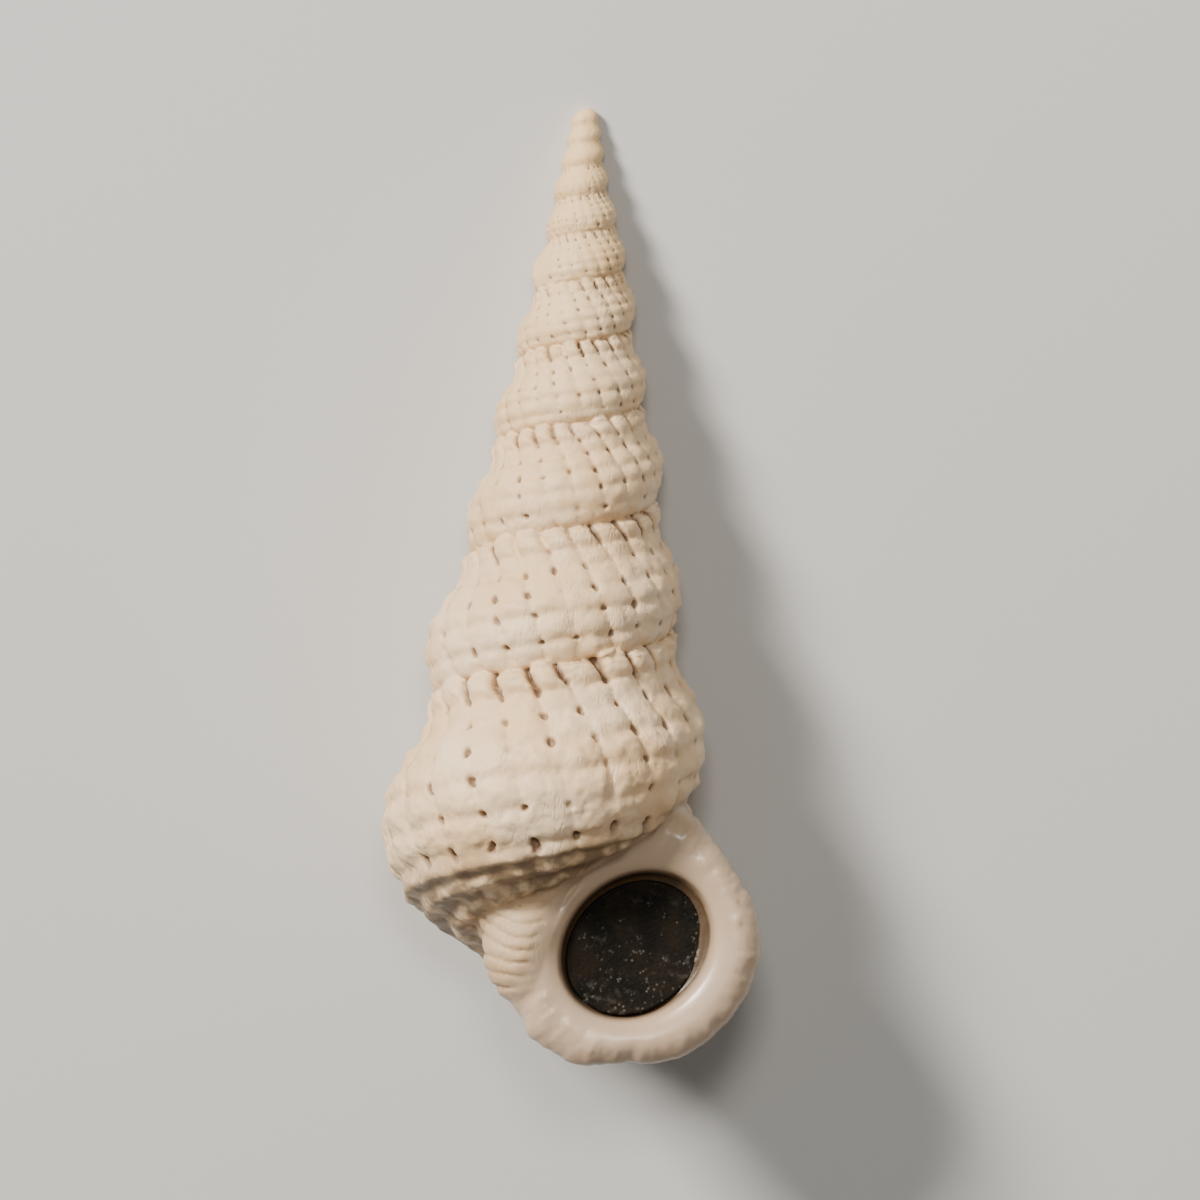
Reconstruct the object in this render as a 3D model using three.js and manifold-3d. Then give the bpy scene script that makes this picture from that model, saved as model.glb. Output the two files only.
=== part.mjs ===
import * as THREE from "three";
import { mergeVertices } from "three/addons/utils/BufferGeometryUtils.js";
import Module from "manifold-3d";

// A varicose wentletrap: a slender coiled seashell of about eleven whorls with overlapping ribs,
// a few swollen ribs and a round thick-lipped mouth, closed by its thin horny lid.
// It lies on its back with the mouth up. All sizes are in millimetres.
// The shell's own frame has x towards the mouth's side, y up the coiling axis to the apex and z out of
// the mouth. Its origin is the tip of the cone that the whorls fill, just above the blunt apex.

// The coil. A place along it is counted in turns, 0 where the last whorl crosses the front.
const growthPerTurn = 1.285;
const sutureAtFront = 28.47; // from the cone's tip, along the axis
const lastTurn = 0.8;
const ribsPerTurn = 21;
const columnsPerRib = 3;
const columnsPerTurn = ribsPerTurn * columnsPerRib;
const leanColumns = 5; // a rib falls back by this much from one suture to the next
const earlyLean = 0.25; // the share of it that comes fast, below the upper suture
const earlyLeanRate = 4.5;
const columnCount = 680;
const apexHeight = 2.12;
const apexBend = -0.22; // sideways, at the tip
const apexBendEnds = [5.5, 8.5]; // down from the cone's tip
const apexWidening = 0.25;
const apexWideningFade = 0.7; // mm

// One whorl's outline: [share of the way to the next suture, distance from the axis over that from the tip]
const whorlOutline = [
  [0, 0.178],
  [0.05, 0.189],
  [0.18, 0.195],
  [0.34, 0.2125],
  [0.5, 0.2235],
  [0.66, 0.2215],
  [0.82, 0.208],
  [0.93, 0.191],
  [1, 0.178],
];
// The rows of points on one whorl, finest on the last. Every second row from the third on holds the pits.
const lastRows = [0, 0.06, 0.13, 0.2, 0.28, 0.365, 0.45, 0.54, 0.63, 0.725, 0.82, 0.91];
const fineRows = [0, 0.06, 0.18, 0.32, 0.46, 0.6, 0.76, 0.9];
const middleRows = [0, 0.1, 0.28, 0.5, 0.7, 0.88];
const smallRows = [0, 0.3, 0.55, 0.8];
const tinyRows = [0, 0.5];

// The last whorl's base below the next suture's place: [from the tip, from the axis], over the suture's own
// distance from the tip. Two strong spiral ridges stand between its grooves.
const baseOutline = [
  [1.285, 0.232],
  [1.303, 0.217],
  [1.32, 0.19],
  [1.34, 0.173],
  [1.356, 0.137],
  [1.376, 0.115],
];
const baseRibDepth = 0.02; // over the distance from the axis
const baseDrawIn = 0.42; // per turn
const baseDrawInFrom = 0.2;
const poleDistance = 41; // where the base closes on the axis, behind the mouth's left side

// Ribs and lobes, over the distance from the tip
const ribValleyDepth = 0.005;
const pitDepth = 0.008;
const slotDepth = 0.014; // of the slots between the lobes at the upper suture
const slotReach = 0.16; // a share of the way across the whorl
const lobeReach = 0.2;
const lobeRise = 0.035; // a share of the way across, up over the suture
const slotDrop = 0.4; // of the lobes' rise
const valleyNarrowing = 0.1; // how far a rib's shoulders move into the valleys, over the ribs' spacing
const smoothFrom = 0.62; // the ribs fade from here to the mouth
const swellingMiddle = 0.62; // across the whorl, where the swollen ribs stand out most
// Swollen ribs: [place in turns, half width in turns, height over the distance from the tip]
const varices = [
  [0.5, 0.07, 0.012],
  [-0.73, 0.1, 0.008],
  [-1.3, 0.05, 0.008],
  [-2.24, 0.06, 0.011],
  [-3.5, 0.08, 0.012],
  [-4.25, 0.06, 0.015],
  [-4.74, 0.06, 0.02],
  [-6.4, 0.07, 0.01],
];

// The mouth: an oval rim inside a thick rounded lip
const mouthCentre = [4.3, -41.3];
const lipPlane = 2.4; // the lip's front, out from the coiling axis
const rimLong = 3.72;
const rimShort = 3.11;
const rimLongAngle = 45; // degrees up from the x axis
const seatDepth = 1.2; // from the lip's front to the ledge that carries the lid
const seatLedge = 0.45;
const lipColumns = 36;
// The lip's section from the seat round to the back: [share of the way from the rim to the outer edge,
// further out by, height over the lip's front]
const lipSection = [
  [0, -seatLedge, -3.4],
  [0, -seatLedge, -seatDepth],
  [0, 0, -seatDepth],
  [0, 0.04, -0.3],
  [0, 0.3, 0.12],
  [0.5, 0, 0.36],
  [1, -0.4, 0.05],
  [1, 0, -0.5],
  [1, -0.15, -1.2],
  [1, -0.75, -2],
  [0.5, -0.2, -3.4],
];
// The lip's outer edge: [degrees up from the x axis, distance from the mouth's centre]
const lipEdge = [
  [0, 5.82],
  [30, 5.87],
  [55, 6.12],
  [72, 6.75],
  [92, 5.6],
  [115, 4.7],
  [145, 4.35],
  [180, 4.6],
  [205, 5.7],
  [220, 6.6],
  [233, 6.42],
  [246, 6.3],
  [257, 5.9],
  [277, 5.5],
  [305, 5.65],
  [335, 5.72],
];

// The twisted cord beside the mouth, from inside the base to the lip's lower corner: [x, y, z, radius]
const cordRoute = [
  [0.3, -37.6, 0.9, 1.6],
  [-0.75, -40.3, 1.35, 1.78],
  [-1.05, -42.2, 1.45, 1.7],
  [-0.25, -43.9, 1.3, 1.2],
  [0.7, -45.1, 1.35, 0.95],
  [1.9, -45.7, 1.6, 0.6],
];
const cordSides = 12;
const cordSteps = 10;

// The tube behind the lip, as far as it shows under the base
const throatTurns = [0.74, 0.66, 0.58, 0.5, 0.42, 0.34, 0.24];
// Its first ring: how far inside the lip's outer edge, and the height over the lip's front
const throatFront = [0.68, -1.4];
const throatStep = 0.85; // the other rings, inside the lip's outer edge
const throatNarrowing = 2.2; // more, per turn back from the mouth
const throatSides = 18;

// The hollow behind the mouth runs half a turn back round the axis
const hollowTurns = 0.5;
const hollowEndTaper = 0.55;
const hollowSides = 14;
const hollowSteps = 8;
const hollowWidth = 0.96; // of the seat's opening
const hollowTop = 3; // over the lip's front, clear of the shell

// The lid
const lidGap = 0.08;
const lidThickness = 0.45;
const lidSize = 0.955; // of the seat's opening
const lidShift = [-0.09, -0.12]; // it sits towards the lower left of the mouth
// The lid's section from below: [share of the way out to its edge, share of the thickness]
const lidSection = [
  [1, 0],
  [1.01, 0.6],
  [0.96, 1],
  [0.6, 0.8],
];

// How it lies: on the swollen ribs of its back, which are worn flat where they touch
const restSlope = 0.2295;
const wornDepth = 0.3;
const slabSize = [60, 120, 10]; // what is cut away below

const { sin, cos, hypot, PI } = Math;
const degrees = PI / 180;

// The value at x of a smooth step through [x, value] pairs
function through(pairs, x) {
  const k = Math.max(1, pairs.findIndex(([at]) => at >= x));
  const last = pairs.length - 1;
  const [x1, y1] = pairs[k - 1];
  const [x2, y2] = pairs[k];
  const [x0, y0] = pairs[Math.max(0, k - 2)];
  const [x3, y3] = pairs[Math.min(last, k + 1)];
  const step = x2 - x1;
  const share = (x - x1) / step;
  const rise1 = ((y2 - y0) / (x2 - x0)) * step;
  const rise2 = x3 > x1 ? ((y3 - y1) / (x3 - x1)) * step : y2 - y1;
  const s2 = share * share;
  const s3 = s2 * share;
  return (
    y1 * (2 * s3 - 3 * s2 + 1) + rise1 * (s3 - 2 * s2 + share) + y2 * (3 * s2 - 2 * s3) + rise2 * (s3 - s2)
  );
}

const sutureAt = (turn) => sutureAtFront * growthPerTurn ** turn;
const bump = (x, halfWidth) => (Math.abs(x) < halfWidth ? cos((x / halfWidth) * (PI / 2)) ** 2 : 0);

// A point of the shell at a distance down the axis and out from it, at a place along the coil
function coilPoint(turn, down, out) {
  const angle = turn * 2 * PI;
  const bent = apexBend * (1 - smoothStep(down, ...apexBendEnds));
  const radius = out * (1 + apexWidening * Math.exp((apexHeight - down) / apexWideningFade));
  return [bent - radius * sin(angle), -down, radius * cos(angle)];
}

function smoothStep(x, from, to) {
  const share = Math.min(1, Math.max(0, (x - from) / (to - from)));
  return share * share * (3 - 2 * share);
}

const maximumSwelling = Math.max(...varices.map(([, , height]) => height));
const swelling = (turn) =>
  varices.reduce((sum, [at, halfWidth, height]) => sum + height * bump(turn - at, halfWidth), 0);

// The whorl's surface on column i, at a share of the way from its suture to the next
function whorlPoint(i, share, pit = 0) {
  const turn = turnOf(i) - leanAt(share);
  const ribbed = 1 - smoothStep(turn, smoothFrom, lastTurn);
  const valley = i % columnsPerRib === 0 ? ribbed : 0;
  const swollen = swelling(turn);
  const lift = lobeRise * bump(share, lobeReach) * (valley > 0 ? slotDrop : -ribbed);
  const down = sutureAt(turn) * growthPerTurn ** (share + lift);
  const filled = 1 - swollen / (2 * maximumSwelling);
  const dent = valley * (filled * (ribValleyDepth + pit * pitDepth) + slotDepth * bump(share, slotReach));
  const towardsBase = bump(share - swellingMiddle, swellingMiddle);
  return coilPoint(turn, down, down * (through(whorlOutline, share) - dent + swollen * towardsBase));
}

// The base's surface on column i of the last whorl; it draws in towards the mouth
function basePoint(i, [down, out]) {
  const turn = turnOf(i) - leanAt(1);
  const suture = sutureAt(turn);
  const drawnIn = 1 - baseDrawIn * Math.max(0, turn - baseDrawInFrom);
  const radius = suture * out * (i % columnsPerRib === 0 ? 1 - baseRibDepth : 1);
  return coilPoint(turn, suture * (1 + (down - 1) * drawnIn), radius);
}

function turnOf(i) {
  const place = i % columnsPerRib;
  const towardsValley = place === 0 ? 0 : (place === 1 ? -1 : 1) * valleyNarrowing * columnsPerRib;
  return lastTurn + (i - columnCount + towardsValley) / columnsPerTurn;
}

function leanAt(share) {
  const across = Math.min(share, 1);
  const early = (1 - Math.exp(-earlyLeanRate * across)) / (1 - Math.exp(-earlyLeanRate));
  return ((earlyLean * early + (1 - earlyLean) * across) * leanColumns) / columnsPerTurn;
}

function rowsFor(i) {
  const turnsBack = (columnCount - i) / columnsPerTurn;
  if (turnsBack < 1.1) return lastRows;
  if (turnsBack < 2.6) return fineRows;
  if (turnsBack < 3.9) return middleRows;
  return turnsBack < 5.7 ? smallRows : tinyRows;
}

// The triangles between two columns, each a list of [vertex, height], from the top down
function zip(left, right, faces) {
  let l = 0;
  let r = 0;
  while (l < left.length - 1 || r < right.length - 1) {
    const stepLeft =
      r === right.length - 1 || (l < left.length - 1 && left[l + 1][1] <= right[r + 1][1]);
    const next = stepLeft ? left[l + 1][0] : right[r + 1][0];
    const corners = [left[l][0], right[r][0], next];
    if (new Set(corners).size === 3) faces.push(corners);
    if (stepLeft) l += 1;
    else r += 1;
  }
}

function geometryOf(points, faces) {
  const geometry = new THREE.BufferGeometry();
  geometry.setAttribute("position", new THREE.Float32BufferAttribute(points.flat(), 3));
  geometry.setIndex(faces.flat());
  return geometry;
}

// The whole coil as one closed surface: columns of points between two sutures, zipped side by side.
// A column's lowest point is the top point of the column one turn on, so the sutures close by themselves.
function coilGeometry() {
  const points = [];
  const add = (point) => points.push(point) - 1;
  const tops = [];
  for (let i = 0; i <= columnCount; i += 1) tops.push(add(whorlPoint(i, 0)));
  const turnShift = columnsPerTurn - leanColumns;
  const firstOpen = columnCount - turnShift;
  const pole = add([0, -poleDistance, 0]);
  const baseStart = 1;
  const columns = tops.map((top, i) => {
    const column = rowsFor(i).map((share, row) => {
      const pit = row > 0 && row % 2 === 0 ? 1 : 0;
      return row === 0 ? [top, 0] : [add(whorlPoint(i, share, pit)), share];
    });
    if (i <= firstOpen) column.push([tops[i + turnShift], baseStart]);
    if (i > firstOpen) column.push([add(basePoint(i, baseOutline[0])), baseStart]);
    if (i < firstOpen) return column;
    baseOutline.slice(1).forEach((row) => column.push([add(basePoint(i, row)), row[0]]));
    column.push([pole, 2]);
    return column;
  });
  const faces = [];
  for (let i = 0; i < columnCount; i += 1) {
    const next = i + 1 === firstOpen ? columns[firstOpen].slice(0, -baseOutline.length) : columns[i + 1];
    zip(columns[i], next, faces);
  }
  // the flat end behind the mouth
  zip(columns[columnCount], columns[firstOpen].slice(-baseOutline.length - 1), faces);
  // the blunt apex
  const apex = add([apexBend, -apexHeight, 0]);
  const firstColumn = columns[0].map(([vertex]) => vertex).reverse();
  const loop = [...firstColumn, ...tops.slice(1, turnShift + 1)];
  for (let k = 0; k < loop.length - 1; k += 1) faces.push([apex, loop[k + 1], loop[k]]);
  return geometryOf(points, faces);
}

// A closed skin over rings of points, each ring as long as the next. A ring list that ends where it starts
// is a loop; otherwise both ends are capped by fans to their middles.
function skinGeometry(rings, closed) {
  const size = rings[0].length;
  const points = rings.flat();
  const faces = [];
  const ringCount = rings.length;
  for (let k = 0; k < (closed ? ringCount : ringCount - 1); k += 1) {
    for (let j = 0; j < size; j += 1) {
      const a = k * size + j;
      const b = k * size + ((j + 1) % size);
      const c = ((k + 1) % ringCount) * size + ((j + 1) % size);
      const d = ((k + 1) % ringCount) * size + j;
      faces.push([a, b, c], [a, c, d]);
    }
  }
  if (!closed) {
    const middleOf = (ring) => [0, 1, 2].map((axis) => ring.reduce((sum, p) => sum + p[axis], 0) / size);
    const first = points.push(middleOf(rings[0])) - 1;
    const last = points.push(middleOf(rings[ringCount - 1])) - 1;
    const start = (ringCount - 1) * size;
    for (let j = 0; j < size; j += 1) {
      faces.push([first, (j + 1) % size, j]);
      faces.push([last, start + j, start + ((j + 1) % size)]);
    }
  }
  return geometryOf(points, faces);
}

const rimRadius = (angle) =>
  1 / hypot(cos(angle - rimLongAngle * degrees) / rimLong, sin(angle - rimLongAngle * degrees) / rimShort);

function lipRadius(angle) {
  const wrapped = (((angle / degrees) % 360) + 360) % 360;
  const around = [...lipEdge.slice(-2).map(([a, r]) => [a - 360, r]), ...lipEdge];
  lipEdge.slice(0, 2).forEach(([a, r]) => around.push([a + 360, r]));
  return through(around, wrapped);
}

// A point of the mouth's plane: an angle and a distance from its centre, and a height out of it
const mouthPoint = (angle, radius, height) => [
  mouthCentre[0] + radius * cos(angle),
  mouthCentre[1] + radius * sin(angle),
  lipPlane + height,
];

// The lip: a ring whose section rises from the rim to a rounded crest and folds back behind its edge
function lipGeometry() {
  const rings = [];
  for (let k = 0; k < lipColumns; k += 1) {
    const angle = (k / lipColumns) * 2 * PI;
    const rim = rimRadius(angle);
    const width = lipRadius(angle) - rim;
    rings.push(
      lipSection.map(([share, further, height]) => mouthPoint(angle, rim + share * width + further, height)),
    );
  }
  return skinGeometry(rings, true);
}

function cordGeometry() {
  const curve = new THREE.CatmullRomCurve3(cordRoute.map(([x, y, z]) => new THREE.Vector3(x, y, z)));
  const radii = cordRoute.map(([, , , radius], k) => [k / (cordRoute.length - 1), radius]);
  const frames = curve.computeFrenetFrames(cordSteps, false);
  const rings = [];
  for (let k = 0; k <= cordSteps; k += 1) {
    const share = k / cordSteps;
    const middle = curve.getPointAt(share);
    const radius = through(radii, share);
    rings.push(
      Array.from({ length: cordSides }, (_, j) => {
        const angle = (j / cordSides) * 2 * PI;
        const point = middle
          .clone()
          .addScaledVector(frames.normals[k], radius * cos(angle))
          .addScaledVector(frames.binormals[k], radius * sin(angle));
        return point.toArray();
      }),
    );
  }
  return skinGeometry(rings, false);
}

// An oval about the mouth's centre carried back round the axis, shrinking as the coil does
function mouthCarriedBack(turn, radiusAt, sides) {
  const scale = growthPerTurn ** (turn - lastTurn);
  return Array.from({ length: sides }, (_, j) => {
    const angle = (j / sides) * 2 * PI;
    const radius = scale * radiusAt(angle);
    return coilPoint(
      turn,
      -mouthCentre[1] * scale - radius * sin(angle),
      mouthCentre[0] * scale + radius * cos(angle),
    );
  });
}

// The last part of the whorl's own tube, from the back of the lip round behind the axis
function throatGeometry() {
  const front = Array.from({ length: throatSides }, (_, j) => {
    const angle = (j / throatSides) * 2 * PI;
    return mouthPoint(angle, lipRadius(angle) - throatFront[0], throatFront[1]);
  });
  const back = throatTurns.map((turn) => {
    const step = throatStep + throatNarrowing * (throatTurns[0] - turn);
    return mouthCarriedBack(turn, (angle) => lipRadius(angle) - step, throatSides);
  });
  return skinGeometry([front, ...back], false);
}

// The hollow: straight in through the seat's opening, then back along the coil, shrinking as the coil does
function hollowGeometry() {
  const radiusAt = (angle) => hollowWidth * (rimRadius(angle) - seatLedge);
  const opening = (height) =>
    Array.from({ length: hollowSides }, (_, j) => {
      const angle = (j / hollowSides) * 2 * PI;
      return mouthPoint(angle, radiusAt(angle), height);
    });
  const rings = [opening(hollowTop), opening(-seatDepth)];
  for (let k = 0; k <= hollowSteps; k += 1) {
    const taper = k === hollowSteps ? hollowEndTaper : 1;
    const turn = throatTurns[0] - (hollowTurns * k) / hollowSteps;
    rings.push(mouthCarriedBack(turn, (angle) => taper * radiusAt(angle), hollowSides));
  }
  return skinGeometry(rings, false);
}

// The lid: a thin oval plate, dished in the middle, lying on the seat's ledge
function lidGeometry() {
  const rings = lidSection.map(([share, thickness]) =>
    Array.from({ length: lipColumns }, (_, k) => {
      const angle = (k / lipColumns) * 2 * PI;
      const radius = share * lidSize * (rimRadius(angle) - lidGap);
      const [x, y, z] = mouthPoint(angle, radius, lidGap - seatDepth + thickness * lidThickness);
      return [x + lidShift[0], y + lidShift[1], z];
    }),
  );
  return skinGeometry(rings, false);
}

const wasm = await Module();
wasm.setup();

// A closed geometry as a solid, turned the right way out
function solidOf(geometry) {
  const merged = mergeVertices(geometry, 1e-4);
  const vertProperties = new Float32Array(merged.attributes.position.array);
  const triVerts = new Uint32Array(merged.index.array);
  const solid = new wasm.Manifold(new wasm.Mesh({ numProp: 3, vertProperties, triVerts }));
  if (solid.volume() > 0) return solid;
  for (let k = 0; k < triVerts.length; k += 3) {
    [triVerts[k + 1], triVerts[k + 2]] = [triVerts[k + 2], triVerts[k + 1]];
  }
  return new wasm.Manifold(new wasm.Mesh({ numProp: 3, vertProperties, triVerts }));
}

function geometryFrom(solid) {
  const { vertProperties, triVerts, numProp, numVert } = solid.getMesh();
  const position = new Float32Array(numVert * 3);
  for (let k = 0; k < numVert; k += 1) {
    position.set(vertProperties.subarray(k * numProp, k * numProp + 3), k * 3);
  }
  const geometry = new THREE.BufferGeometry();
  geometry.setAttribute("position", new THREE.BufferAttribute(position, 3));
  geometry.setIndex(new THREE.BufferAttribute(triVerts, 1));
  return geometry;
}

// The slab under the surface that the shell lies on, in the shell's own frame
const restTilt = Math.atan(restSlope);
function slabGeometry() {
  const slab = new THREE.BoxGeometry(...slabSize);
  slab.deleteAttribute("normal");
  slab.deleteAttribute("uv");
  slab.translate(0, 0, wornDepth - slabSize[2] / 2);
  slab.rotateX(restTilt);
  return slab;
}

const shellSolid = solidOf(coilGeometry())
  .add(solidOf(lipGeometry()))
  .add(solidOf(throatGeometry()))
  .add(solidOf(cordGeometry()))
  .subtract(solidOf(hollowGeometry()))
  .subtract(solidOf(slabGeometry()));

const shell = new THREE.Mesh(
  geometryFrom(shellSolid),
  new THREE.MeshStandardMaterial({ color: 0xe6d6c2, roughness: 0.6, metalness: 0 }),
);
shell.name = "shell";

const lid = new THREE.Mesh(
  geometryFrom(solidOf(lidGeometry())),
  new THREE.MeshStandardMaterial({ color: 0x1b1713, roughness: 0.75, metalness: 0 }),
);
lid.name = "operculum";

// Laid on its back, with the box's bottom centre at the origin
const wentletrap = new THREE.Group();
wentletrap.add(shell, lid);
wentletrap.rotation.x = -restTilt;
wentletrap.updateMatrixWorld(true);
const box = new THREE.Box3().setFromObject(wentletrap, true);
wentletrap.position.set(-(box.min.x + box.max.x) / 2, -(box.min.y + box.max.y) / 2, -box.min.z);
wentletrap.updateMatrixWorld(true);

export default wentletrap;
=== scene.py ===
import math
from types import SimpleNamespace

import bmesh
import bpy
import numpy as np
from mathutils import Matrix, Vector


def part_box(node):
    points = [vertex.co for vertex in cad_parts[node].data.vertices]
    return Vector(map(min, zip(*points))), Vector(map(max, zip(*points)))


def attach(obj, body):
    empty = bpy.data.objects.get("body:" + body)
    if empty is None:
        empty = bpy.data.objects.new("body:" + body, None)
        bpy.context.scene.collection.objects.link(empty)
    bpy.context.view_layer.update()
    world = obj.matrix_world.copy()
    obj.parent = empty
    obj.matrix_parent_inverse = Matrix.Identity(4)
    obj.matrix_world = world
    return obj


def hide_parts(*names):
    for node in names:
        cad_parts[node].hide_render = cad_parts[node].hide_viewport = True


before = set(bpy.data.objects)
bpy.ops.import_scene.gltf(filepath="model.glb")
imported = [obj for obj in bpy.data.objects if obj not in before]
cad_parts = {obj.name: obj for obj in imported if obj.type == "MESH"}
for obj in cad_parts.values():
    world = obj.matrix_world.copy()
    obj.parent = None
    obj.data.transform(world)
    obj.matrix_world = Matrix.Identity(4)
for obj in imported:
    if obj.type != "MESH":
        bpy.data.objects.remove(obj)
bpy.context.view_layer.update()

# Everything is modelled in millimetres in the shell's own frame: x to the mouth's side, y up the
# coiling axis to the apex, z out of the mouth, and the origin at the tip of the cone of whorls.
# It is laid on its back and turned into metres at the end.
mm = 0.001
fullTurn = 2 * math.pi


# Node trees

def sumOf(operation, swapped=False):  # an operator that adds a Math node
    def work(self, other):
        return self.tree.sum(operation, *((other, self) if swapped else (self, other)))
    return work


class Wire:  # a socket that does sums
    def __init__(self, tree, socket):
        self.tree = tree
        self.socket = socket

    def __neg__(self):
        return self * -1.0

    __add__, __radd__ = sumOf("ADD"), sumOf("ADD", True)
    __sub__, __rsub__ = sumOf("SUBTRACT"), sumOf("SUBTRACT", True)
    __mul__, __rmul__ = sumOf("MULTIPLY"), sumOf("MULTIPLY", True)
    __pow__, __rpow__ = sumOf("POWER"), sumOf("POWER", True)
    __truediv__ = sumOf("DIVIDE")
    __gt__, __lt__ = sumOf("GREATER_THAN"), sumOf("LESS_THAN")


class Outputs:  # a made node, whose outputs are read by number or name
    def __init__(self, tree, node):
        self.tree = tree
        self.node = node

    def __getitem__(self, key):
        if isinstance(key, str):
            return Wire(self.tree, self.node.outputs[key])
        live = [s for s in self.node.outputs if s.enabled]
        return Wire(self.tree, live[key])


def setCurve(mapping, points, sharp):
    mapping.use_clip = True
    line = mapping.curves[0]
    for k, (x, y) in enumerate(points):
        point = line.points[k] if k < 2 else line.points.new(x, y)
        point.location = (x, y)
        point.handle_type = "VECTOR" if k in sharp else "AUTO"
    mapping.update()


class Tree:  # a node tree and the one way that nodes are put in it
    def __init__(self, nodeTree):
        self.nodeTree = nodeTree

    def make(self, kind, settings=None, inputs=None):
        node = self.nodeTree.nodes.new(kind)
        for name, value in (settings or {}).items():
            if name == "curve":
                setCurve(node.mapping, *value)
            else:
                setattr(node, name, value)
        for key, value in (inputs or {}).items():
            if isinstance(value, Outputs):
                value = value[0]
            if isinstance(value, Wire):
                self.nodeTree.links.new(value.socket, node.inputs[key])
            else:
                node.inputs[key].default_value = value
        return Outputs(self, node)

    def sum(self, operation, *values):
        return self.make("ShaderNodeMath", {"operation": operation}, dict(enumerate(values)))[0]

    # short ways for sums that have no operator
    def clamp(self, value, low=0.0, high=1.0):
        return self.make("ShaderNodeClamp", {}, {"Value": value, "Min": low, "Max": high})[0]

    def smooth(self, value, low, high):
        kind = {"interpolation_type": "SMOOTHSTEP"}
        return self.make("ShaderNodeMapRange", kind, {"Value": value, "From Min": low, "From Max": high})[0]

    def hump(self, value):  # a soft bump about nought
        return math.e ** (-(value * value))

    def fromMiddle(self, value):  # 0.5 at whole numbers and 0 halfway between them
        return self.sum("ABSOLUTE", self.sum("FRACT", value) - 0.5)

    def parts(self, vector):
        made = self.make("ShaderNodeSeparateXYZ", {}, {0: vector})
        return made[0], made[1], made[2]

    def vector(self, x, y, z):
        return self.make("ShaderNodeCombineXYZ", {}, {0: x, 1: y, 2: z})[0]

    def noise(self, where, scale, detail=3.0, roughness=0.5, dimensions="3D"):
        return self.make("ShaderNodeTexNoise", {"noise_dimensions": dimensions}, {
            "Vector": where, "Scale": scale, "Detail": detail, "Roughness": roughness})[0]

    def random(self, where, dimensions="3D"):  # three numbers for a cell
        made = self.make("ShaderNodeTexWhiteNoise", {"noise_dimensions": dimensions}, {"Vector": where})
        return self.parts(made["Color"])


def newGeometryTree(name, inputs):
    nodeTree = bpy.data.node_groups.new(name, "GeometryNodeTree")
    nodeTree.interface.new_socket("Geometry", in_out="INPUT", socket_type="NodeSocketGeometry")
    for label, value in inputs.items():
        kind = "NodeSocketInt" if isinstance(value, int) else "NodeSocketFloat"
        nodeTree.interface.new_socket(label, in_out="INPUT", socket_type=kind).default_value = value
    nodeTree.interface.new_socket("Geometry", in_out="OUTPUT", socket_type="NodeSocketGeometry")
    tree = Tree(nodeTree)
    entry = tree.make("NodeGroupInput")
    return tree, entry


def closeGeometryTree(tree, geometry, material):
    realized = tree.make("GeometryNodeRealizeInstances", {}, {"Geometry": geometry})
    painted = tree.make("GeometryNodeSetMaterial", {}, {"Geometry": realized, "Material": material})
    tree.make("NodeGroupOutput", {}, {"Geometry": painted})


def runGeometryTree(item, tree, values):
    modifier = item.modifiers.new(tree.nodeTree.name, "NODES")
    modifier.node_group = tree.nodeTree
    for socket in tree.nodeTree.interface.items_tree:
        if socket.in_out == "INPUT" and socket.name in values:
            modifier[socket.identifier] = values[socket.name]
    bake(item)


def bake(item):  # the modifiers' result as a plain mesh
    graph = bpy.context.evaluated_depsgraph_get()
    graph.update()
    mesh = bpy.data.meshes.new_from_object(
        item.evaluated_get(graph), preserve_all_data_layers=True, depsgraph=graph)
    old = item.data
    item.modifiers.clear()
    item.data = mesh
    bpy.data.meshes.remove(old)
    mesh.name = item.name


def newItem(name, points, faces):
    mesh = bpy.data.meshes.new(name)
    mesh.from_pydata([tuple(p) for p in points], [], [tuple(f) for f in faces])
    item = bpy.data.objects.new(name, mesh)
    bpy.context.scene.collection.objects.link(item)
    return item


def newMaterial(name):
    material = bpy.data.materials.new(name)
    material.use_nodes = True
    material.node_tree.nodes.clear()
    return material, Tree(material.node_tree)


# The coil

coil = {
    "growth": 1.285,  # per turn
    "sutureAtFront": 28.47,  # from the cone's tip
    "lastTurn": 0.8,
    "turns": 10.79,
    "columnsPerTurn": 72,
    "rowsAcross": 110,
    "baseDrawIn": 0.44,  # of the base, per turn, towards the mouth
    "baseDrawInFrom": 0.2,
    "baseEnd": 42.3,  # at the axis, just above the mouth's lower lip
    "baseSlope": 0.5,
    "apexBend": -0.22,
    "apexBendSpan": (5.5, 8.5),  # bent above it, straight below it
    "apexWidening": 0.25,
    "apexWideningReach": 0.7,
    "apexHeight": 2.12,
    "mergeDistance": 0.002,
}
# one whorl's section: distance from the tip and from the axis, over the suture's own distance from the tip
whorlSection = [
    (1.0, -0.02), (1.0, 0.176), (1.0145, 0.19), (1.0335, 0.198), (1.0515, 0.205), (1.078, 0.2195),
    (1.1055, 0.2375), (1.1335, 0.252), (1.1625, 0.2595), (1.19, 0.2608), (1.22, 0.2595), (1.24, 0.2548),
    (1.262, 0.2452), (1.285, 0.2312), (1.303, 0.2165), (1.32, 0.1945), (1.34, 0.168), (1.358, 0.138),
    (1.376, 0.105), (1.39, 0.055), (1.394, 0.0), (1.394, -0.02), (1.0, -0.02),
]
sectionMiddle = (1.2, 0.1)


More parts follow.
